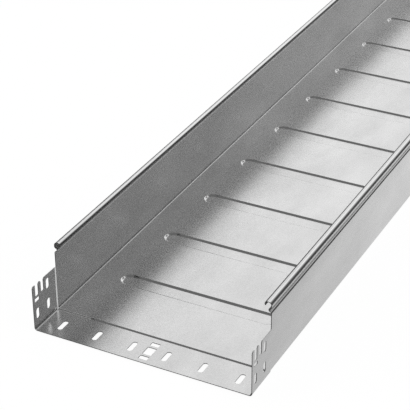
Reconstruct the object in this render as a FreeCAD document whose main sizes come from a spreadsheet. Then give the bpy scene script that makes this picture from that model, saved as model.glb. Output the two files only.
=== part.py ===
# Solid cable tray: one folded steel sheet with a widened socket end, curled side edges and stiffening ribs.
# X runs across the tray, Y along it from the socket to the plain end, Z up. Millimetres.
# The sheet is drawn with the socket's front edge at Y 0 and the underside of the main floor at Z 0,
# then the body is placed with its middle over the origin and its ribs standing on Z 0.

import os
from math import cos, radians, sin

import FreeCAD
import Part
import Sketcher
from FreeCAD import Vector

SIZES = {
    # the sheet and the tray as it is sold
    "length": 3000.0,
    "inner_width": 300.0,
    "height": 100.0,
    "sheet": 1.0,
    "corner_radius": 3.0,
    # groove and curled edge at the top of each side, radii on the outer face
    "groove_angle": 73.0,
    "groove_lead_radius": 3.0,
    "groove_radius": 2.0,
    "curl_rise": 2.0,
    "shoulder_radius": 4.5,
    "crown_radius": 7.0,
    "crown_angle": 15.0,
    "tip_radius": 3.8,
    "tip_angle": 115.0,
    # socket that takes the next tray's plain end
    "socket_depth": 51.0,
    "joggle_length": 3.0,
    "socket_wall": 63.0,
    # bolt slots, placed from the front edge, from the middle of the floor and from its underside
    "slot_width": 7.0,
    "floor_slot_length": 20.0,
    "floor_slot_y": 24.0,
    "floor_slot_first_x": 24.0,
    "floor_slot_pitch": 50.5,
    "floor_slots_each_side": 3,
    "wall_slot_length": 15.0,
    "wall_slot_front_y": 9.0,
    "wall_slot_rear_y": 34.0,
    "wall_slot_low_z": 20.0,
    "wall_slot_high_z": 50.0,
    # clip windows in the middle of the socket's floor
    "clip_width": 12.0,
    "clip_front_y": 6.0,
    "clip_slit_length": 7.0,
    "clip_window_length": 15.3,
    "clip_bridge": 3.7,
    # clip slit, open notches and tongue at the top of the socket's walls
    "slit_front_y": 4.0,
    "slit_length": 10.0,
    "slit_height": 5.0,
    "slit_bridge": 3.0,
    "notch_low_z": 46.0,
    "notch_front_y": 6.0,
    "notch_width": 7.0,
    "tongue_width": 6.0,
    "rear_notch_width": 6.0,
    "notch_chamfer": 2.0,
    # stiffening ribs pressed down into the floor
    "rib_first_y": 152.5,
    "rib_pitch": 120.0,
    "rib_end_margin": 75.0,
    "rib_span": 227.0,
    "rib_width": 26.6,
    "rib_depth": 2.0,
    "rib_slope_run": 4.8,
}

doc = FreeCAD.newDocument("cable_tray")

dims = doc.addObject("Spreadsheet::Sheet", "Dimensions")
dims.Label = "dims"
for row, (alias, value) in enumerate(SIZES.items(), start=1):
    dims.set(f"A{row}", alias.replace("_", " "))
    dims.set(f"B{row}", str(value))
    dims.setAlias(f"B{row}", alias)
doc.recompute()


def now(expression):
    """Present value of an expression in the spreadsheet's names."""
    return float(dims.evalExpression(expression))


def bind(owner, links):
    for name, expression in links.items():
        owner.setExpression(name, expression)
    return owner


def constrain(sketch, kind, where, expression, unit=""):
    """Dimension in a sketch that follows an expression."""
    value = now(expression)
    index = sketch.addConstraint(Sketcher.Constraint(kind, *where, radians(value) if unit else value))
    sketch.setExpression(f"Constraints[{index}]", f"({expression}){unit}")


# Folded section: a chain of flats and bends along the sheet's outer face, from the middle of the floor
# outwards

GROOVE = [
    ("bend", "dims.groove_lead_radius", "dims.groove_angle", 1),
    ("bend", "dims.groove_radius", "2 * dims.groove_angle", -1),
    ("bend", "dims.groove_lead_radius", "dims.groove_angle", 1),
]
CURL_TO_CROWN = [
    ("flat", "dims.curl_rise"),
    ("bend", "dims.shoulder_radius", "90 - dims.crown_angle", 1),
    ("bend", "dims.crown_radius", "dims.crown_angle", 1),
]
CURL_FROM_CROWN = [
    ("bend", "dims.crown_radius", "dims.crown_angle", 1),
    ("bend", "dims.tip_radius", "dims.tip_angle", 1),
]
EDGE = GROOVE + CURL_TO_CROWN + CURL_FROM_CROWN
STEPS_TO_CROWN = len(GROOVE + CURL_TO_CROWN)
FLOOR, CORNER, WALL = range(3)


def follow(steps, point, heading):
    """Geometry of each step in turn, then the end point."""
    shapes = []
    for kind, length, *turn in steps:
        along = Vector(cos(radians(heading)), sin(radians(heading)), 0)
        if kind == "flat":
            end = point + along * now(length)
            shapes.append((Part.LineSegment(point, end), 1, 2))
        else:
            radius, angle, side = now(length), now(turn[0]), turn[1]
            centre = point + Vector(-along.y, along.x, 0) * radius * side
            first, last = heading - 90 * side, heading - 90 * side + angle * side
            circle = Part.Circle(centre, Vector(0, 0, 1), radius)
            arc = Part.ArcOfCircle(circle, radians(min(first, last)), radians(max(first, last)))
            shapes.append((arc, 1, 2) if side > 0 else (arc, 2, 1))
            end = centre + Vector(cos(radians(last)), sin(radians(last)), 0) * radius
            heading += angle * side
        point = end
    return shapes, point


def fold_sketch(name, spread, top, edge, start_y):
    """Half section at start_y: floor, corner and wall, then the steps of the edge.

    Spread is how far the section lies outside the main one. The wall, or the crown of the edge's curl,
    ends at the height called top.
    """
    half_width = f"(dims.inner_width / 2 + dims.sheet + {spread})"
    corner = f"(dims.corner_radius + {spread})"
    sketch = doc.addObject("Sketcher::SketchObject", name)
    sketch.Placement.Rotation = FreeCAD.Rotation(Vector(1, 0, 0), 90)
    bind(sketch, {"Placement.Base.y": start_y})

    rise = follow(edge[:STEPS_TO_CROWN], Vector(), 90)[1].y
    wall = f"{top} + {spread} - {corner} - {rise}"
    steps = [("flat", f"{half_width} - {corner}"), ("bend", corner, "90", 1), ("flat", wall)] + edge
    shapes, _ = follow(steps, Vector(0, -now(spread), 0), 0)
    sketch.addGeometry([shape for shape, _, _ in shapes])
    for index in range(1, len(shapes)):
        joint = (index - 1, shapes[index - 1][2], index, shapes[index][1])
        sketch.addConstraint(Sketcher.Constraint("Tangent", *joint))

    sketch.addConstraint(Sketcher.Constraint("PointOnObject", FLOOR, 1, -2))
    sketch.addConstraint(Sketcher.Constraint("Horizontal", FLOOR))
    sketch.addConstraint(Sketcher.Constraint("Vertical", WALL))
    constrain(sketch, "DistanceY", (-1, 1, FLOOR, 1), f"-{spread}")
    constrain(sketch, "DistanceX", (-1, 1, WALL, 1), half_width)
    constrain(sketch, "Radius", (CORNER,), corner)
    for index, (kind, length, *turn) in enumerate(edge, start=WALL + 1):
        if kind == "flat":
            constrain(sketch, "Distance", (index,), length)
        else:
            constrain(sketch, "Radius", (index,), length)
            constrain(sketch, "Angle", (index,), turn[0], " * 1 deg")
    last = WALL + len(edge[:STEPS_TO_CROWN])
    constrain(sketch, "DistanceY", (-1, 1, last, shapes[last][2]), top)
    return sketch


def strip(sketch):
    """Sheet thickness added on the inner side of a folded section."""
    face = doc.addObject("Part::Offset2D", sketch.Name + "Strip")
    face.Source = sketch
    face.Mode = "Skin"
    face.Fill = True
    return bind(face, {"Value": "dims.sheet"})


def extrude(face, length):
    solid = doc.addObject("Part::Extrusion", face.Name + "Solid")
    solid.Base = face
    solid.DirMode = "Custom"
    solid.Dir = Vector(0, 1, 0)
    solid.Solid = True
    return bind(solid, {"LengthFwd": length})


MAIN_START = "(dims.socket_depth + dims.joggle_length)"

main_strip = strip(fold_sketch("MainSection", "0", "dims.height", EDGE, MAIN_START))
main = extrude(main_strip, f"dims.length - {MAIN_START}")
socket_strip = strip(fold_sketch("SocketSection", "dims.sheet", "dims.socket_wall", [], "0"))
socket = extrude(socket_strip, "dims.socket_depth")

joggle = doc.addObject("Part::Loft", "Joggle")
joggle.Sections = [
    strip(fold_sketch("JoggleFront", "dims.sheet", "dims.socket_wall", [], "dims.socket_depth")),
    strip(fold_sketch("JoggleRear", "0", "dims.socket_wall", [], MAIN_START)),
]
joggle.Solid = True
joggle.Ruled = True

right_half = doc.addObject("Part::MultiFuse", "RightHalf")
right_half.Shapes = [main, joggle, socket]
left_half = doc.addObject("Part::Mirroring", "LeftHalf")
left_half.Source = right_half
left_half.Normal = Vector(1, 0, 0)
folded = doc.addObject("Part::MultiFuse", "FoldedSheet")
folded.Shapes = [right_half, left_half]
folded.Refine = True
doc.recompute()

body = doc.addObject("PartDesign::Body", "CableTray")
body.Label = "cable_tray"
body.BaseFeature = folded
doc.recompute()


# Sketches and cuts on the folded sheet

def plane_sketch(name, role, height="0"):
    sketch = body.newObject("Sketcher::SketchObject", name)
    plane = next(item for item in body.Origin.OriginFeatures if item.Role == role)
    sketch.AttachmentSupport = [(plane, "")]
    sketch.MapMode = "FlatFace"
    return bind(sketch, {"AttachmentOffset.Base.z": height})


def add_slot(sketch, centre, length, width, upright):
    """Slot with round ends, centred on a pair of expressions."""
    base = sketch.GeometryCount
    axis = Vector(0, 1, 0) if upright else Vector(1, 0, 0)
    side = Vector(-axis.y, axis.x, 0)
    middle = Vector(now(centre[0]), now(centre[1]), 0)
    reach = axis * (now(length) - now(width)) / 2
    radius = now(width) / 2
    turn = 90 if upright else 0
    for end, first in ((middle + reach, turn - 90), (middle - reach, turn + 90)):
        circle = Part.Circle(end, Vector(0, 0, 1), radius)
        sketch.addGeometry(Part.ArcOfCircle(circle, radians(first), radians(first + 180)))
    for offset, sign in ((side * radius, 1), (side * -radius, -1)):
        ends = (middle + offset + reach * sign, middle + offset - reach * sign)
        sketch.addGeometry(Part.LineSegment(*ends))
    far, near, line, other = base, base + 1, base + 2, base + 3
    for joint in ((far, 2, line, 1), (line, 2, near, 1), (near, 2, other, 1), (other, 2, far, 1)):
        sketch.addConstraint(Sketcher.Constraint("Tangent", *joint))
    sketch.addConstraint(Sketcher.Constraint("Vertical" if upright else "Horizontal", line))
    half = f"(({length}) - ({width})) / 2"
    constrain(sketch, "Radius", (far,), f"({width}) / 2")
    if upright:
        constrain(sketch, "DistanceX", (-1, 1, far, 3), centre[0])
        constrain(sketch, "DistanceY", (-1, 1, far, 3), f"{centre[1]} + {half}")
        constrain(sketch, "DistanceY", (-1, 1, near, 3), f"{centre[1]} - {half}")
    else:
        constrain(sketch, "DistanceY", (-1, 1, far, 3), centre[1])
        constrain(sketch, "DistanceX", (-1, 1, far, 3), f"{centre[0]} + {half}")
        constrain(sketch, "DistanceX", (-1, 1, near, 3), f"{centre[0]} - {half}")


def add_outline(sketch, corners):
    """Closed outline of straight lines through corners given as pairs of expressions."""
    base = sketch.GeometryCount
    points = [Vector(now(x), now(y), 0) for x, y in corners]
    for start, end in zip(points, points[1:] + points[:1]):
        sketch.addGeometry(Part.LineSegment(start, end))
    for index, (x, y) in enumerate(corners):
        previous = base + (index - 1) % len(corners)
        sketch.addConstraint(Sketcher.Constraint("Coincident", previous, 2, base + index, 1))
        constrain(sketch, "DistanceX", (-1, 1, base + index, 1), x)
        constrain(sketch, "DistanceY", (-1, 1, base + index, 1), y)


def add_box(sketch, x, y, width, height):
    right, top = f"{x} + {width}", f"{y} + {height}"
    add_outline(sketch, [(x, y), (right, y), (right, top), (x, top)])


def cut(sketch, depth=None):
    """Pocket to both sides of its sketch, right through the tray unless a depth is given."""
    before = body.Shape.Volume
    pocket = body.newObject("PartDesign::Pocket", sketch.Name + "Cut")
    pocket.Profile = sketch
    pocket.SideType = "Symmetric"
    pocket.Type = "Length" if depth else "ThroughAll"
    if depth:
        bind(pocket, {"Length": depth})
    body.Tip = pocket
    doc.recompute()
    if body.Shape.Volume >= before:
        raise RuntimeError(f"{pocket.Name} removes nothing")
    return pocket


def repeat(features, axis_role, length, occurrences):
    pattern = body.newObject("PartDesign::LinearPattern", features[0].Name + "Pattern")
    pattern.Originals = features
    axis = next(item for item in body.Origin.OriginFeatures if item.Role == axis_role)
    pattern.Direction = (axis, [""])
    bind(pattern, {"Length": length, "Occurrences": occurrences})
    body.Tip = pattern
    doc.recompute()
    return pattern


# Bolt slots in floor and walls, again at the plain end, where they meet the slots of the next tray's socket

floor_slots = plane_sketch("FloorSlots", "XY_Plane")
for number in range(int(SIZES["floor_slots_each_side"])):
    for side in ("", "-"):
        place = f"{side}(dims.floor_slot_first_x + {number} * dims.floor_slot_pitch)"
        centre = (place, "dims.floor_slot_y")
        add_slot(floor_slots, centre, "dims.floor_slot_length", "dims.slot_width", True)
floor_cut = cut(floor_slots, "6 * dims.sheet")

wall_slots = plane_sketch("WallSlots", "YZ_Plane")
for place in (
    ("dims.wall_slot_front_y", "dims.wall_slot_low_z"),
    ("dims.wall_slot_rear_y", "dims.wall_slot_low_z"),
    ("dims.wall_slot_rear_y", "dims.wall_slot_high_z"),
):
    add_slot(wall_slots, place, "dims.wall_slot_length", "dims.slot_width", True)
wall_cut = cut(wall_slots)
repeat([floor_cut, wall_cut], "Y_Axis", "dims.length - dims.socket_depth", "2")


# Clip windows in the socket's floor: a slit, a window and a slit with narrow bridges between

clip_windows = plane_sketch("ClipWindows", "XY_Plane")
clip_rear_y = "dims.clip_front_y + dims.clip_slit_length + dims.clip_bridge"
for start, long_side in (
    ("dims.clip_front_y", "dims.clip_slit_length"),
    (clip_rear_y, "dims.clip_window_length"),
    (f"{clip_rear_y} + dims.clip_window_length + dims.clip_bridge", "dims.clip_slit_length"),
):
    add_box(clip_windows, "-dims.clip_width / 2", start, "dims.clip_width", long_side)
cut(clip_windows, "6 * dims.sheet")


# Clip slit, open notches with the tongue between them, and chamfered front corner in both socket walls

slit_z = "(dims.notch_low_z - dims.slit_bridge - dims.slit_height)"
notch_z = "dims.notch_low_z"
shoulder_z = "(dims.socket_wall - dims.notch_chamfer)"
above_z = "(dims.socket_wall + dims.notch_chamfer)"
tongue_front = "(dims.notch_front_y + dims.notch_width)"
tongue_rear = f"({tongue_front} + dims.tongue_width)"
rear_y = f"({tongue_rear} + dims.rear_notch_width)"

clip_cuts = plane_sketch("WallClips", "YZ_Plane")
add_box(clip_cuts, "dims.slit_front_y", slit_z, "dims.slit_length", "dims.slit_height")
add_outline(clip_cuts, [
    ("dims.notch_front_y", notch_z),
    (tongue_front, notch_z),
    (tongue_front, shoulder_z),
    (f"{tongue_front} + dims.tongue_width / 2", f"{shoulder_z} + dims.tongue_width / 2"),
    (tongue_rear, shoulder_z),
    (tongue_rear, notch_z),
    (rear_y, notch_z),
    (rear_y, shoulder_z),
    (f"{rear_y} + 2 * dims.notch_chamfer", above_z),
    ("dims.notch_front_y", above_z),
])
add_outline(clip_cuts, [
    ("-dims.notch_chamfer", f"{shoulder_z} - dims.notch_chamfer"),
    ("2 * dims.notch_chamfer", above_z),
    ("-dims.notch_chamfer", above_z),
])
cut(clip_cuts)


# Stiffening ribs: the outer face is added under the floor, the inner face pressed into it

def rib_sketch(name, height, widen):
    sketch = plane_sketch(name, "XY_Plane", height)
    length, width = f"dims.rib_span + {widen}", f"dims.rib_width + {widen}"
    add_slot(sketch, ("0", "dims.rib_first_y"), length, width, False)
    return sketch


slope = "atan(dims.rib_depth / dims.rib_slope_run)"
lean = "atan(dims.rib_slope_run / dims.rib_depth)"

rib_pad = body.newObject("PartDesign::Pad", "RibOutside")
rib_pad.Profile = rib_sketch("RibOuterOutline", "0", f"2 * dims.sheet * tan({slope} / 2)")
rib_pad.Reversed = True
bind(rib_pad, {"Length": "dims.rib_depth", "TaperAngle": f"-{lean}"})
body.Tip = rib_pad
doc.recompute()

rib_pocket = body.newObject("PartDesign::Pocket", "RibInside")
rib_pocket.Profile = rib_sketch("RibInnerOutline", "dims.sheet", "0")
bind(rib_pocket, {"Length": "dims.rib_depth", "TaperAngle": f"-{lean}"})
body.Tip = rib_pocket
doc.recompute()

rib_steps = "floor((dims.length - dims.rib_first_y - dims.rib_end_margin) / dims.rib_pitch)"
repeat([rib_pad, rib_pocket], "Y_Axis", f"{rib_steps} * dims.rib_pitch", f"{rib_steps} + 1")

bind(body, {
    "Placement.Base.y": "-dims.length / 2",
    "Placement.Base.z": "max(dims.rib_depth; dims.sheet)",
})
doc.recompute()


# Checks of the model, then the file

for item in doc.Objects:
    if "Invalid" in item.State or "Error" in item.State:
        raise RuntimeError(f"{item.Name} failed: {item.State}")
shape = body.Shape
if not shape.isValid() or len(shape.Solids) != 1:
    raise RuntimeError("the tray is not one valid solid")

os.makedirs("parts", exist_ok=True)
shape.exportStep(f"parts/{body.Label}.step")
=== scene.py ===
# Solid cable tray in galvanised sheet steel, dressed for rendering.
# The sheet is drawn flat, as it leaves the punch, and every point of it is then folded into place:
# along is the distance across the unfolded sheet from its middle, lengthwise the distance from the
# socket's front edge, and proud the distance off the middle of the sheet's thickness, inwards positive.

from math import cos, radians, sin

import bpy
import numpy as np
from mathutils import Matrix, Vector
from mathutils.geometry import delaunay_2d_cdt


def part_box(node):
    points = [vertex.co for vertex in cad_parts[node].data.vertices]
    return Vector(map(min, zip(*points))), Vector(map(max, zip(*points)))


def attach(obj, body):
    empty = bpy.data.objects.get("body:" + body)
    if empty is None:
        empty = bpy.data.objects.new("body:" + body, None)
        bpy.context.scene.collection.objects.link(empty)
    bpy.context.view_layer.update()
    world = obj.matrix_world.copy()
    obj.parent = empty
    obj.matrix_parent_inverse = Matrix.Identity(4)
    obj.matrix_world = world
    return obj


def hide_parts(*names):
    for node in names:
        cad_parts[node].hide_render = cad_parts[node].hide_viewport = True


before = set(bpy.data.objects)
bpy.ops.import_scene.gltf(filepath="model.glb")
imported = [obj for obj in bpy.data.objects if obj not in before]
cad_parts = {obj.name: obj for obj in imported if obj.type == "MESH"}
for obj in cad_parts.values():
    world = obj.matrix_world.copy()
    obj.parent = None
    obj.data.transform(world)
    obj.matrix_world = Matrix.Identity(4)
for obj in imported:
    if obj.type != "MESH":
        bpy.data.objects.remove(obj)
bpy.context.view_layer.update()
trayNode = "cable_tray"
low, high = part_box(trayNode)
mm = 0.001


# The fold. All sizes are in millimetres, and steps are the strips that a bend is made of

sheet = {"thickness": 1.0, "edgeRound": 0.12}
sheet["length"] = (high.y - low.y) / mm
sheet["innerHalf"] = high.x / mm - 2 * sheet["thickness"]
corner = {"radius": 3.0, "steps": 10}
groove = {"angle": 73.0, "leadRadius": 3.0, "leadSteps": 8, "radius": 2.0, "steps": 16}
curl = {"rise": 2.0, "shoulderRadius": 4.5, "shoulderSteps": 10, "crownRadius": 7.0, "crownAngle": 15.0,
        "crownSteps": 5, "tipRadius": 3.8, "tipAngle": 115.0, "tipSteps": 14}
socket = {"depth": 51.0, "joggle": 3.0, "wall": 63.0, "steps": 8}

# Ribs pressed down into the floor. flank is the width of a rib's slope, and rounding the share of it
# that each rounded end takes
ribs = {"firstY": 152.5, "pitch": 120.0, "endMargin": 75.0, "span": 227.0, "width": 26.6,
        "depth": 2.0, "flank": 3.8, "rounding": 0.35, "steps": 14, "arcSteps": 20}

underside = ribs["depth"]
height = high.z / mm - underside


def bend(outerRadius, angle, side):
    # Length and curvature of a bend at the middle of the sheet's thickness
    radius = outerRadius - side * sheet["thickness"] / 2
    return radius * radians(angle), side / radius


def foldSteps():
    # Length, curvature and strips of each flat and bend of half the section, from the middle of the floor
    outerHalf = sheet["innerHalf"] + sheet["thickness"]
    lead = (*bend(groove["leadRadius"], groove["angle"], 1), groove["leadSteps"])
    crownAngle = radians(curl["crownAngle"])
    grooveRise = 2 * (groove["leadRadius"] + groove["radius"]) * sin(radians(groove["angle"]))
    crownRise = (curl["rise"] + curl["shoulderRadius"] * cos(crownAngle)
                 + curl["crownRadius"] * (1 - cos(crownAngle)))
    wall = height - corner["radius"] - grooveRise - crownRise
    return [
        (outerHalf - corner["radius"], 0.0, 0),
        (*bend(corner["radius"], 90, 1), corner["steps"]),
        (wall, 0.0, 0),
        lead,
        (*bend(groove["radius"], 2 * groove["angle"], -1), groove["steps"]),
        lead,
        (curl["rise"], 0.0, 0),
        (*bend(curl["shoulderRadius"], 90 - curl["crownAngle"], 1), curl["shoulderSteps"]),
        (*bend(curl["crownRadius"], 2 * curl["crownAngle"], 1), curl["crownSteps"]),
        (*bend(curl["tipRadius"], curl["tipAngle"], 1), curl["tipSteps"]),
    ]


foldParts = foldSteps()
foldStarts = np.concatenate([[0.0], np.cumsum([length for length, _, _ in foldParts])])
wallStart = foldStarts[2]
sheetHalf = foldStarts[-1]


def section(along):
    # Place on the middle of the sheet's thickness and unit normal towards the inside, for half the
    # section: each flat adds its length along the heading, and each bend turns the heading on an arc
    x = np.zeros_like(along)
    z = np.full_like(along, underside + sheet["thickness"] / 2)
    heading = np.zeros_like(along)
    for (length, curvature, _), start in zip(foldParts, foldStarts):
        run = np.clip(along - start, 0.0, length)
        if curvature:
            turned = heading + curvature * run
            x += (np.sin(turned) - np.sin(heading)) / curvature
            z -= (np.cos(turned) - np.cos(heading)) / curvature
            heading = turned
        else:
            x += run * np.cos(heading)
            z += run * np.sin(heading)
    return x, z, -np.sin(heading), np.cos(heading)


def smooth(value):
    value = np.clip(value, 0.0, 1.0)
    return value * value * (3 - 2 * value)


def flank(share):
    # Straight slope from 0 to 1 with its two ends rounded
    t, q = np.clip(share, 0.0, 1.0), ribs["rounding"]
    start = t * t / (2 * q * (1 - q))
    straight = (t - q / 2) / (1 - q)
    end = 1 - (1 - t) ** 2 / (2 * q * (1 - q))
    return np.where(t < q, start, np.where(t > 1 - q, end, straight))


def ribCentres():
    count = int((sheet["length"] - ribs["firstY"] - ribs["endMargin"]) // ribs["pitch"]) + 1
    return ribs["firstY"] + ribs["pitch"] * np.arange(count)


ribLines = ribCentres()
ribReach = (ribs["span"] - ribs["width"]) / 2
ribEdge = (ribs["width"] - ribs["flank"]) / 2


def pressed(along, lengthwise):
    # Depth of the pressing: the socket set out by one thickness, and the ribs, whose depth falls
    # with the distance from the rib's middle line
    out = 1 - smooth((lengthwise - socket["depth"]) / socket["joggle"])
    number = np.rint((lengthwise - ribLines[0]) / ribs["pitch"]).astype(int)
    nearest = ribLines[np.clip(number, 0, len(ribLines) - 1)]
    beyond = np.maximum(np.abs(along) - ribReach, 0.0)
    distance = np.hypot(beyond, lengthwise - nearest)
    inRib = 1 - flank((distance - ribEdge) / ribs["flank"] + 0.5)
    return -sheet["thickness"] * out - ribs["depth"] * inRib


def folded(along, lengthwise, proud):
    # Place of a point of the flat sheet: the section's place, moved along its normal by the pressing
    # and by how proud the point is, and mirrored on the left half
    x, z, normalX, normalZ = section(np.abs(along))
    side = np.where(along < 0, -1.0, 1.0)
    off = pressed(along, lengthwise) + proud
    y = lengthwise + low.y / mm
    return np.stack([side * (x + normalX * off), y, z + normalZ * off], axis=-1)


def axesAt(along, lengthwise, proud):
    # Unit directions across and along the sheet at each point, and its normal
    step = 0.002
    across = folded(along + step, lengthwise, proud) - folded(along - step, lengthwise, proud)
    forward = folded(along, lengthwise + step, proud) - folded(along, lengthwise - step, proud)
    normal = np.cross(across, forward)
    return [v / np.linalg.norm(v, axis=-1, keepdims=True) for v in (across, forward, normal)]


# Outlines on the flat sheet, as closed loops of (along, lengthwise) points

slots = {"width": 7.0, "floorLength": 20.0, "floorY": 24.0, "firstX": 24.0, "pitch": 50.5, "eachSide": 3,
         "wallLength": 15.0, "frontY": 9.0, "rearY": 34.0, "lowZ": 20.0, "highZ": 50.0, "arcSteps": 14}
clips = {"width": 12.0, "frontY": 6.0, "slit": 7.0, "window": 15.3, "bridge": 3.7, "cornerRound": 0.5}
notches = {"slitY": 4.0, "slitLength": 10.0, "slitHeight": 5.0, "bridge": 3.0, "lowZ": 46.0, "frontY": 6.0,
           "width": 7.0, "tongue": 6.0, "rearWidth": 6.0, "chamfer": 2.0, "cornerRound": 0.7}


def wallAt(z):
    return wallStart + z - corner["radius"]


def slotLoop(centre, reachAlong, reachLengthwise, radius, steps):
    # Round-ended slot, anticlockwise: two half circles, of which one reach from the middle is zero
    turn = 0 if reachAlong else 90
    angles = np.radians(turn + np.linspace(-90, 90, steps + 1))
    half = radius * np.column_stack([np.cos(angles), np.sin(angles)])
    reach = np.array([reachAlong, reachLengthwise])
    return np.concatenate([reach + half, -reach - half]) + centre


def rounded(points, radius, steps=4):
    # Closed outline of straight sides with each corner turned into a quadratic curve, which takes
    # up to the radius from both sides, but never half of a side
    points = np.array(points, float)
    behind, ahead = np.roll(points, 1, axis=0) - points, np.roll(points, -1, axis=0) - points
    lengths = [np.linalg.norm(side, axis=1, keepdims=True) for side in (behind, ahead)]
    nearHalf = 1 / 2.01
    start = points + behind / lengths[0] * np.minimum(radius, lengths[0] * nearHalf)
    end = points + ahead / lengths[1] * np.minimum(radius, lengths[1] * nearHalf)
    t = np.linspace(0, 1, steps + 1)[:, None, None]
    curves = (1 - t) ** 2 * start + 2 * t * (1 - t) * points + t * t * end
    return curves.transpose(1, 0, 2).reshape(-1, 2)


def boxLoop(along, lengthwise, width, length, cornerRound):
    right, rear = along + width, lengthwise + length
    return rounded([(along, lengthwise), (right, lengthwise), (right, rear), (along, rear)], cornerRound)


def edgeOfHalf():
    # Free edge of the right half from the front of the floor to the rear: the socket wall's top with
    # its notches and tongue, the step up to the main wall, and the lip of the curl
    bottom, top = wallAt(notches["lowZ"]), wallAt(socket["wall"])
    cut = notches["chamfer"]
    tongueFront = notches["frontY"] + notches["width"]
    tongueRear = tongueFront + notches["tongue"]
    rear = tongueRear + notches["rearWidth"]
    mainFront = socket["depth"] + socket["joggle"]
    return [
        (top - cut, 0.0), (top, cut),
        (top, notches["frontY"]), (bottom, notches["frontY"]),
        (bottom, tongueFront), (top - cut, tongueFront), (top, tongueFront + cut),
        (top, tongueRear - cut), (top - cut, tongueRear), (bottom, tongueRear),
        (bottom, rear), (top - cut, rear), (top, rear + cut),
        (top, mainFront), (sheetHalf, mainFront), (sheetHalf, sheet["length"]),
    ]


def outerLoop():
    half = edgeOfHalf()
    mirrored = [(-x, y) for x, y in reversed(half)]
    return rounded(half + mirrored, notches["cornerRound"])


def slotLoops(side, shift):
    # Bolt slots of one side and one end: three in the floor and three in the wall
    radius = slots["width"] / 2
    floorReach = slots["floorLength"] / 2 - radius
    wallReach = slots["wallLength"] / 2 - radius
    loops = []
    for number in range(slots["eachSide"]):
        centre = (side * (slots["firstX"] + number * slots["pitch"]), slots["floorY"] + shift)
        loops.append(slotLoop(centre, 0, floorReach, radius, slots["arcSteps"]))
    for y, z in ((slots["frontY"], slots["lowZ"]), (slots["rearY"], slots["lowZ"]),
                 (slots["rearY"], slots["highZ"])):
        centre = (side * wallAt(z), y + shift)
        loops.append(slotLoop(centre, wallReach, 0, radius, slots["arcSteps"]))
    return loops


def slitLoop(side):
    # Clip slit under the notches of one wall
    slitTop = wallAt(notches["lowZ"] - notches["bridge"])
    start = slitTop - notches["slitHeight"] if side > 0 else -slitTop
    return boxLoop(start, notches["slitY"], notches["slitHeight"], notches["slitLength"],
                   notches["cornerRound"])


def holeLoops():
    loops = []
    for side in (-1, 1):
        for shift in (0.0, sheet["length"] - socket["depth"]):
            loops.extend(slotLoops(side, shift))
        loops.append(slitLoop(side))
    y = clips["frontY"]
    for length in (clips["slit"], clips["window"], clips["slit"]):
        loops.append(boxLoop(-clips["width"] / 2, y, clips["width"], length, clips["cornerRound"]))
        y += length + clips["bridge"]
    return loops


def bendLines():
    # Places across the sheet where the bends need a line of points, on both halves
    lines = [start + length * np.arange(steps + 1) / steps
             for start, (length, _, steps) in zip(foldStarts, foldParts) if steps]
    lines = np.unique(np.round(np.concatenate(lines), 6))
    lines = lines[lines < sheetHalf - sheet["edgeRound"]]
    return np.concatenate([-lines[::-1], lines])


def joggleLines():
    return socket["depth"] + socket["joggle"] * np.arange(socket["steps"] + 1) / socket["steps"]


def withCrossings(loop, lines, axis):
    # The loop with a point added wherever one of its sides crosses a line of constant coordinate,
    # but not where the crossing is at a corner already
    span = np.roll(loop, -1, axis=0) - loop
    nearCorner, parallel = 1e-4, 1e-6
    with np.errstate(divide="ignore", invalid="ignore"):
        shares = (lines - loop[:, axis, None]) / span[:, axis, None]
    crossed = (shares > nearCorner) & (shares < 1 - nearCorner) & (np.abs(span[:, axis, None]) > parallel)
    corners = np.arange(len(loop))
    sides = np.concatenate([corners, np.nonzero(crossed)[0]])
    shares = np.concatenate([np.zeros(len(loop)), shares[crossed]])
    order = np.lexsort((shares, sides))
    return loop[sides[order]] + shares[order, None] * span[sides[order]]


def outwards(loop):
    # Unit direction away from the metal at each point of an anticlockwise outline, and how much
    # longer the way off is there than off a straight side, at most double
    ahead = np.roll(loop, -1, axis=0) - loop
    ahead /= np.linalg.norm(ahead, axis=1, keepdims=True)
    behind = np.roll(ahead, 1, axis=0)
    side = np.stack([ahead[:, 1] + behind[:, 1], -ahead[:, 0] - behind[:, 0]], axis=1)
    side /= np.linalg.norm(side, axis=1, keepdims=True)
    stretch = 1 / np.maximum((side[:, 0] * ahead[:, 1] - side[:, 1] * ahead[:, 0]), 0.5)
    return side, stretch


def inside(points, loops):
    # True where a point lies within an odd number of loops
    odd = np.zeros(len(points), bool)
    for loop in loops:
        lowest, highest = loop.min(axis=0), loop.max(axis=0)
        near = np.all((points >= lowest) & (points <= highest), axis=1)
        if not near.any():
            continue
        x, y = points[near, 0][:, None], points[near, 1][:, None]
        x0, y0 = loop[:, 0], loop[:, 1]
        x1, y1 = np.roll(x0, -1), np.roll(y0, -1)
        crosses = (y0 > y) != (y1 > y)
        with np.errstate(divide="ignore", invalid="ignore"):
            at = x0 + (y - y0) * (x1 - x0) / (y1 - y0)
        odd[near] ^= (np.sum(crosses & (x < at), axis=1) % 2).astype(bool)
    return odd


# The mesh

def innerLines():
    # Lines that the triangles have to follow, each with whether it is closed: bends and joggle, drawn
    # past the sheet's edges, and loops round each rib from the foot to the top of its slope
    past = 1.0
    rear, side = sheet["length"] + past, wallAt(socket["wall"]) + past
    lines = [(np.array([(along, -past), (along, rear)]), False) for along in bendLines()]
    lines += [(np.array([(-side, y), (side, y)]), False) for y in joggleLines()]
    offsets = ribs["flank"] * (np.arange(ribs["steps"] + 1) / ribs["steps"] - 0.5)
    lines += [(slotLoop((0.0, y), ribReach, 0, ribEdge + offset, ribs["arcSteps"]), True)
              for y in ribLines for offset in offsets]
    return lines


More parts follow.
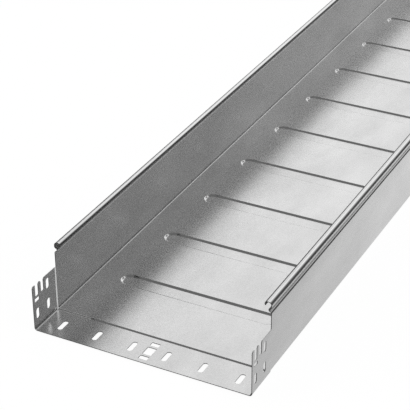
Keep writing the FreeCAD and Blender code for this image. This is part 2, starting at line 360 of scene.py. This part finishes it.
def flatTriangles(edgeLoops):
    # Triangles of the flat sheet inside the loops, with points on every bend, joggle and rib line
    chains = [(loop, True) for loop in edgeLoops] + innerLines()
    points = np.concatenate([chain for chain, _ in chains])
    edges, count = [], 0
    for chain, closed in chains:
        here = count + np.arange(len(chain))
        pairs = np.column_stack([here, np.roll(here, -1)])
        edges.extend((pairs if closed else pairs[:-1]).tolist())
        count += len(chain)
    mergeWithin = 1e-5
    places, _, faces, *_ = delaunay_2d_cdt([Vector(p) for p in points], edges, [], 0, mergeWithin)
    places = np.array([tuple(p) for p in places])
    faces = np.array(faces)
    faces = faces[inside(places[faces].mean(axis=1), edgeLoops)]
    used, faces = np.unique(faces, return_inverse=True)
    return places[used], faces.reshape(-1, 3)


def edgeRings():
    # Cross-section of a free edge from the inner face to the outer one, a quarter circle at each:
    # inset from the outline, proud, and the normal's shares inwards and away from the metal
    half, rounding = sheet["thickness"] / 2, sheet["edgeRound"]
    turns = np.radians([0, 30, 60, 90])
    rings = [(rounding * (1 - sin(a)), half - rounding * (1 - cos(a)), cos(a), sin(a)) for a in turns]
    return rings + [(inset, -proud, -up, out) for inset, proud, up, out in reversed(rings)]


def sheetMesh():
    half, rounding = sheet["thickness"] / 2, sheet["edgeRound"]
    outlines = [(outerLoop(), 1)] + [(loop, -1) for loop in holeLoops()]
    loops, insets = [], []
    for loop, sign in outlines:
        loop = withCrossings(withCrossings(loop, bendLines(), 0), joggleLines(), 1)
        side, stretch = outwards(loop)
        side *= sign
        loops.append((loop, side, stretch, sign))
        insets.append(loop - side * (stretch * rounding)[:, None])
    flat, triangles = flatTriangles(insets)

    # Each point is along, lengthwise, proud and how it leans: the normal's share inwards and the
    # share away from the metal in each of the sheet's two directions
    rows = [
        np.column_stack([flat, np.full(len(flat), half), np.tile([1.0, 0.0, 0.0], (len(flat), 1))]),
        np.column_stack([flat, np.full(len(flat), -half), np.tile([-1.0, 0.0, 0.0], (len(flat), 1))]),
    ]
    faces = [triangles, triangles[:, ::-1] + len(flat)]
    count = 2 * len(flat)
    rings = edgeRings()
    quads, cut = [], []
    for loop, side, stretch, sign in loops:
        n = len(loop)
        for inset, proud, up, out in rings:
            place = loop - side * (stretch * inset)[:, None]
            rows.append(np.column_stack([place, np.full(n, proud), np.full(n, up), side * out]))
        here = np.arange(n)
        following = np.roll(here, -1)
        for ring in range(len(rings) - 1):
            a, b = count + ring * n, count + (ring + 1) * n
            quad = np.column_stack([a + here, b + here, b + following, a + following])
            quads.append(quad if sign > 0 else quad[:, ::-1])
            cut.append(np.full(n, 0 < ring < len(rings) - 2))  # the outermost strips keep their zinc
        count += n * len(rings)
    rows = np.concatenate(rows)
    across, forward, normal = axesAt(rows[:, 0], rows[:, 1], rows[:, 2])
    normals = normal * rows[:, 3:4] + across * rows[:, 4:5] + forward * rows[:, 5:6]
    places = folded(rows[:, 0], rows[:, 1], rows[:, 2]) * mm
    return places, np.concatenate(faces), np.concatenate(quads), np.concatenate(cut), normals


def makeSheet():
    places, triangles, quads, cutFaces, normals = sheetMesh()

    # Points that coincide become one, and triangles that lose a corner by that go
    _, first, same = np.unique(np.round(places / mm, 4), axis=0, return_index=True, return_inverse=True)
    same = same.ravel()
    flat, edge = same[triangles], same[quads]
    flat = flat[(flat[:, 0] != flat[:, 1]) & (flat[:, 1] != flat[:, 2]) & (flat[:, 2] != flat[:, 0])]
    mesh = bpy.data.meshes.new("folded_sheet")
    mesh.from_pydata(places[first].tolist(), [], flat.tolist() + edge.tolist())
    mesh.polygons.foreach_set("use_smooth", [True] * len(mesh.polygons))
    mesh.polygons.foreach_set("material_index", [0] * len(flat) + cutFaces.astype(int).tolist())
    mesh.normals_split_custom_set_from_vertices(normals[first].tolist())
    piece = bpy.data.objects.new("folded_sheet", mesh)
    bpy.context.scene.collection.objects.link(piece)
    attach(piece, "root")
    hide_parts(trayNode)
    return piece


# Materials

def emptyMaterial(name):
    material = bpy.data.materials.new(name)
    material.use_nodes = True
    material.node_tree.nodes.clear()
    return material, material.node_tree


def node(tree, kind, values=(), **settings):
    # New node with its inputs set to values, or linked where a value is another node's output
    made = tree.nodes.new(kind)
    for name, value in settings.items():
        setattr(made, name, value)
    for name, value in dict(values).items():
        if isinstance(value, bpy.types.NodeSocket):
            tree.links.new(value, made.inputs[name])
        else:
            made.inputs[name].default_value = value
    return made


def noise(tree, pattern):
    place = node(tree, "ShaderNodeTexCoord").outputs["Object"]
    stretched = node(tree, "ShaderNodeVectorMath", {0: place, 1: pattern["stretch"]}, operation="MULTIPLY")
    values = {"Vector": stretched.outputs[0], "Scale": pattern["scale"], "Detail": pattern["detail"],
              "Roughness": 0.6}
    return node(tree, "ShaderNodeTexNoise", values).outputs["Fac"]


def ramp(tree, value, start, end, first=0.0, last=1.0):
    # Soft change from first to last while the value goes from start to end
    values = {"Value": value, "From Min": start, "From Max": end, "To Min": first, "To Max": last}
    return node(tree, "ShaderNodeMapRange", values, interpolation_type="SMOOTHSTEP").outputs[0]


def spread(tree, value, first, last):
    # Straight change from first to last while the value goes from 0 to 1
    return node(tree, "ShaderNodeMapRange", {"Value": value, "To Min": first, "To Max": last}).outputs[0]


def calc(tree, operation, *values):
    return node(tree, "ShaderNodeMath", dict(enumerate(values)), operation=operation).outputs[0]


def blend(tree, share, first, last):
    return node(tree, "ShaderNodeMix", {"Factor": share, "A": first, "B": last}, data_type="FLOAT").outputs[0]


def grey(tree, tone):
    return node(tree, "ShaderNodeCombineColor", {"Red": tone, "Green": tone, "Blue": tone}).outputs[0]


# Bends, ribs and the joggle are burnished. The measure is the normal's largest part along an axis: above
# flat a face isn't burnished at all, and below bent it is fully
burnish = {"flat": 0.995, "bent": 0.97, "tone": 0.88, "rough": 0.07}


def bentShare(tree):
    # 0 on flats, 1 where the surface faces between the three axes
    normal = node(tree, "ShaderNodeNewGeometry").outputs["Normal"]
    parts = node(tree, "ShaderNodeSeparateXYZ", {"Vector": normal}).outputs
    facing = [calc(tree, "ABSOLUTE", part) for part in parts]
    most = calc(tree, "MAXIMUM", calc(tree, "MAXIMUM", facing[0], facing[1]), facing[2])
    return ramp(tree, most, burnish["bent"], burnish["flat"], 1.0, 0.0)


# Painted shade inside the curl and on its face over the tray, down to its reach in metres below the top: a
# dark tone where shade falls in the fold, with its own roughness.
# from and to are shares of the normal towards the tray, under and below are shares downwards
paintedCurlShade = {"reach": 0.0065, "from": 0.45, "to": 0.75, "under": 0.05, "below": 0.3,
            "tone": 0.38, "rough": 0.25}


def curlShadeMask(tree):
    # 1 inside the curl and on its face over the tray, where the shade is painted
    normal = node(tree, "ShaderNodeNewGeometry").outputs["Normal"]
    place = node(tree, "ShaderNodeTexCoord").outputs["Object"]
    normal = node(tree, "ShaderNodeSeparateXYZ", {"Vector": normal}).outputs
    place = node(tree, "ShaderNodeSeparateXYZ", {"Vector": place}).outputs
    inwards = calc(tree, "MULTIPLY", calc(tree, "SIGN", place["X"]), normal["X"])
    facing = calc(tree, "MAXIMUM", ramp(tree, inwards, -paintedCurlShade["from"], -paintedCurlShade["to"]),
                  ramp(tree, normal["Z"], -paintedCurlShade["under"], -paintedCurlShade["below"]))
    top = high.z - paintedCurlShade["reach"]
    return calc(tree, "MULTIPLY", facing, ramp(tree, place["Z"], top - mm, top))


zinc = {
    "grain": {"scale": 420.0, "stretch": (1.0, 1.0, 1.0), "detail": 3.0},
    "streaks": {"scale": 160.0, "stretch": (1.0, 0.08, 1.0), "detail": 2.0},
    "waves": {"scale": 7.0, "stretch": (1.0, 0.6, 1.0), "detail": 1.0},
    "clouds": {"scale": 15.0, "stretch": (1.0, 0.5, 1.0), "detail": 4.0},
    "darkest": 0.76, "lightest": 0.80, "cloudDepth": 0.17, "smooth": 0.18, "rough": 0.35,
    "waveHeight": 0.0006, "waveBump": 0.15, "grainHeight": 0.00012, "grainBump": 0.12,
}


def galvanised():
    # Zinc skin: fine grain, streaks along the rolling direction, soft clouds and a slow waviness of the
    # sheet, and smoother and brighter where the rolls and the press have burnished the bends
    material, tree = emptyMaterial("galvanised_steel")
    grain, streaks = noise(tree, zinc["grain"]), noise(tree, zinc["streaks"])
    waves, clouds = noise(tree, zinc["waves"]), noise(tree, zinc["clouds"])
    clouds = spread(tree, clouds, -zinc["cloudDepth"], zinc["cloudDepth"])
    bent, shadedInCurl = bentShare(tree), curlShadeMask(tree)
    tone = calc(tree, "ADD", spread(tree, streaks, zinc["darkest"], zinc["lightest"]), clouds)
    tone = blend(tree, bent, tone, burnish["tone"])
    # painted shade: inside the curl and on its face over the tray the colour is darkened to a fixed tone
    tone = blend(tree, shadedInCurl, tone, paintedCurlShade["tone"])
    rough = blend(tree, bent, spread(tree, grain, zinc["smooth"], zinc["rough"]), burnish["rough"])
    rough = blend(tree, shadedInCurl, rough, paintedCurlShade["rough"])
    broad = node(tree, "ShaderNodeBump", {"Height": waves, "Strength": zinc["waveBump"],
                                          "Distance": zinc["waveHeight"]})
    fine = node(tree, "ShaderNodeBump", {"Height": grain, "Strength": zinc["grainBump"],
                                         "Distance": zinc["grainHeight"], "Normal": broad.outputs[0]})
    shader = node(tree, "ShaderNodeBsdfPrincipled", {"Base Color": grey(tree, tone), "Metallic": 1.0,
                                                     "Roughness": rough, "Normal": fine.outputs[0]})
    node(tree, "ShaderNodeOutputMaterial", {"Surface": shader.outputs[0]})
    return material


cutSteel = {"scores": {"scale": 900.0, "stretch": (1.0, 1.0, 0.3), "detail": 2.0},
            "darkest": 0.44, "lightest": 0.57, "roughness": 0.25}


def sheared():
    # Bare steel of the punched and sheared edges, scored through the thickness
    material, tree = emptyMaterial("cut_edge")
    tone = spread(tree, noise(tree, cutSteel["scores"]), cutSteel["darkest"], cutSteel["lightest"])
    shader = node(tree, "ShaderNodeBsdfPrincipled", {"Base Color": grey(tree, tone), "Metallic": 1.0,
                                                     "Roughness": cutSteel["roughness"]})
    node(tree, "ShaderNodeOutputMaterial", {"Surface": shader.outputs[0]})
    return material


# Studio

# The photograph's camera, solved from the tray's straight edges: its place in metres from the middle of
# the socket's front edge, then turn, pitch and roll in degrees, and the lens in pixels of the photograph
viewpoint = {"right": 0.7683, "back": 1.2989, "up": 1.0994, "turn": 27.531, "pitch": 30.249, "roll": -0.409,
             "focalLength": 1521.62, "imageWidth": 410.0, "sensor": 36.0, "nearest": 0.05, "farthest": 200.0}


def makeCamera():
    place = Vector((viewpoint["right"], low.y - viewpoint["back"], viewpoint["up"] + underside * mm))
    turn, pitch, roll = (radians(viewpoint[name]) for name in ("turn", "pitch", "roll"))
    ahead = Vector((-sin(turn) * cos(pitch), cos(turn) * cos(pitch), -sin(pitch)))
    level = Vector((cos(turn), sin(turn), 0.0))
    up = level.cross(ahead)
    right = level * cos(roll) + up * sin(roll)
    up = up * cos(roll) - level * sin(roll)
    data = bpy.data.cameras.new("camera")
    data.sensor_width = viewpoint["sensor"]
    data.lens = viewpoint["sensor"] * viewpoint["focalLength"] / viewpoint["imageWidth"]
    data.clip_start, data.clip_end = viewpoint["nearest"], viewpoint["farthest"]
    camera = bpy.data.objects.new("camera", data)
    camera.matrix_world = Matrix((
        (right.x, up.x, -ahead.x, place.x),
        (right.y, up.y, -ahead.y, place.y),
        (right.z, up.z, -ahead.z, place.z),
        (0.0, 0.0, 0.0, 1.0)))
    bpy.context.scene.collection.objects.link(camera)
    bpy.context.scene.camera = camera


# Pale floor: white to the camera with the tray's faint shadow on it. To the metal it glows with painted light
# and shade: painted shade that makes it dimmer near the front, a painted shadow under the tray and in front
# of it, and a painted pool of light beside its right side that fades to dark further right. Distances are in
# metres: litBeside from the tray's right side, litFront and rearDistance from its front edge, and foot in
# from its sides
ground = {"size": 40.0, "drop": 0.0005, "white": 0.95, "shade": 0.16, "litBeside": (0.075, 0.12),
          "litFront": (-0.004, 0.012), "foot": 0.006, "unlit": 0.02,
          "frontLight": 0.56, "rearLight": 0.88, "rearDistance": 1.0}


def makeFloor():
    size = ground["size"]
    corners = [(-size, -size, 0), (size, -size, 0), (size, size, 0), (-size, size, 0)]
    mesh = bpy.data.meshes.new("floor")
    mesh.from_pydata(corners, [], [(0, 1, 2, 3)])
    floor = bpy.data.objects.new("floor", mesh)
    floor.location.z = -ground["drop"]
    bpy.context.scene.collection.objects.link(floor)
    material, tree = emptyMaterial("floor")
    place = node(tree, "ShaderNodeTexCoord").outputs["Object"]
    place = node(tree, "ShaderNodeSeparateXYZ", {"Vector": place}).outputs
    start, end = (high.x + distance for distance in ground["litBeside"])
    beside = ramp(tree, place["X"], start, end, 1.0, ground["unlit"])
    fromMiddle = calc(tree, "ABSOLUTE", place["X"])
    clear = ramp(tree, fromMiddle, high.x - ground["foot"], high.x, ground["unlit"], 1.0)
    start, end = (low.y + distance for distance in ground["litFront"])
    behind = ramp(tree, place["Y"], start, end, ground["unlit"], 1.0)
    lit = calc(tree, "MULTIPLY", calc(tree, "MULTIPLY", beside, clear), behind)
    farther = ramp(tree, place["Y"], low.y, low.y + ground["rearDistance"],
                   ground["frontLight"], ground["rearLight"])
    ray = node(tree, "ShaderNodeLightPath").outputs
    # painted light and shadow: the floor's glow as the metal mirrors it
    mirrored = calc(tree, "MULTIPLY", ray["Is Glossy Ray"], calc(tree, "MULTIPLY", lit, farther))
    seen = calc(tree, "MULTIPLY", ray["Is Camera Ray"], ground["white"])
    glow = node(tree, "ShaderNodeEmission", {"Color": (1.0, 1.0, 1.0, 1.0),
                                             "Strength": calc(tree, "MAXIMUM", mirrored, seen)})
    shade = node(tree, "ShaderNodeBsdfDiffuse", {"Color": (ground["shade"],) * 3 + (1.0,)})
    both = node(tree, "ShaderNodeAddShader", {0: glow.outputs[0], 1: shade.outputs[0]})
    node(tree, "ShaderNodeOutputMaterial", {"Surface": both.outputs[0]})
    mesh.materials.append(material)


# White screens around the tray. turn is a screen's middle, from +Y to the left, and left and right say
# how far from there its sides start to fade and end. low is the height above the horizon from which it
# fades in, and high that from which it fades out, all in degrees. arch lifts the lower edge towards the
# sides. The metal mirrors the screens and the dark gaps between them, while the camera sees only white
screens = {
    "rear": {"turn": 0.0, "left": (34.0, 44.0), "right": (-4.0, 46.0), "low": (-2.0, 10.0), "arch": 0.75,
             "high": (38.0, 60.0), "strength": 1.0},
    "top": {"turn": 0.0, "left": (179.0, 180.0), "right": (179.0, 180.0), "low": (44.0, 60.0),
            "high": (89.0, 90.0), "strength": 0.14},
    "right": {"turn": -90.0, "left": (12.0, 36.0), "right": (12.0, 36.0), "low": (6.0, 18.0),
              "high": (44.0, 62.0), "strength": 0.85},
    "left": {"turn": 110.0, "left": (16.0, 46.0), "right": (16.0, 46.0), "low": (4.0, 18.0),
             "high": (34.0, 52.0), "strength": 0.85},
    "front": {"turn": 180.0, "left": (16.0, 40.0), "right": (16.0, 40.0), "low": (2.0, 14.0),
              "high": (30.0, 46.0), "strength": 0.35},
    "upper": {"turn": -44.0, "left": (10.0, 24.0), "right": (8.0, 20.0), "low": (40.0, 46.0),
              "high": (54.0, 62.0), "strength": 0.75},
}
gapLight = 0.07


def screenLight(tree, direction, elevation, screen):
    # 1 within a screen and 0 outside it, for a direction and its height, which is its sine
    turned = node(tree, "ShaderNodeVectorRotate", {"Vector": direction, "Angle": -radians(screen["turn"])},
                  rotation_type="Z_AXIS").outputs[0]
    level = node(tree, "ShaderNodeSeparateXYZ", {"Vector": turned}).outputs
    aside = calc(tree, "ARCTAN2", level["X"], level["Y"])
    start, end = (radians(angle) for angle in screen["right"])
    lit = ramp(tree, aside, start, end, 1.0, 0.0)
    start, end = (radians(angle) for angle in screen["left"])
    lit = calc(tree, "MULTIPLY", lit, ramp(tree, aside, -end, -start))
    start, end = (sin(radians(angle)) for angle in screen["low"])
    lifted = calc(tree, "MULTIPLY", calc(tree, "POWER", aside, 2.0), screen.get("arch", 0.0))
    lit = calc(tree, "MULTIPLY", lit, ramp(tree, calc(tree, "SUBTRACT", elevation, lifted), start, end))
    start, end = (sin(radians(angle)) for angle in screen["high"])
    return calc(tree, "MULTIPLY", lit, ramp(tree, elevation, start, end, 1.0, 0.0))


def makeLight():
    world = bpy.data.worlds.new("studio")
    bpy.context.scene.world = world
    world.use_nodes = True
    tree = world.node_tree
    tree.nodes.clear()
    direction = node(tree, "ShaderNodeTexCoord").outputs["Generated"]
    elevation = node(tree, "ShaderNodeSeparateXYZ", {"Vector": direction}).outputs["Z"]
    total = gapLight
    for screen in screens.values():
        lit = screenLight(tree, direction, elevation, screen)
        total = calc(tree, "ADD", total, calc(tree, "MULTIPLY", lit, screen["strength"] - gapLight))
    seen = node(tree, "ShaderNodeLightPath").outputs["Is Camera Ray"]
    studio = node(tree, "ShaderNodeBackground", {"Color": (1.0, 1.0, 1.0, 1.0),
                                                 "Strength": calc(tree, "MAXIMUM", total, seen)})
    node(tree, "ShaderNodeOutputWorld", {"Surface": studio.outputs[0]})


makeCamera()
print("camera set")
tray = makeSheet()
print("sheet folded:", len(tray.data.vertices), "points,", len(tray.data.polygons), "faces")
for material in (galvanised(), sheared()):
    tray.data.materials.append(material)
print("zinc and cut edges on")
makeFloor()
makeLight()
bpy.context.scene.view_settings.view_transform = "Standard"
print("studio set")
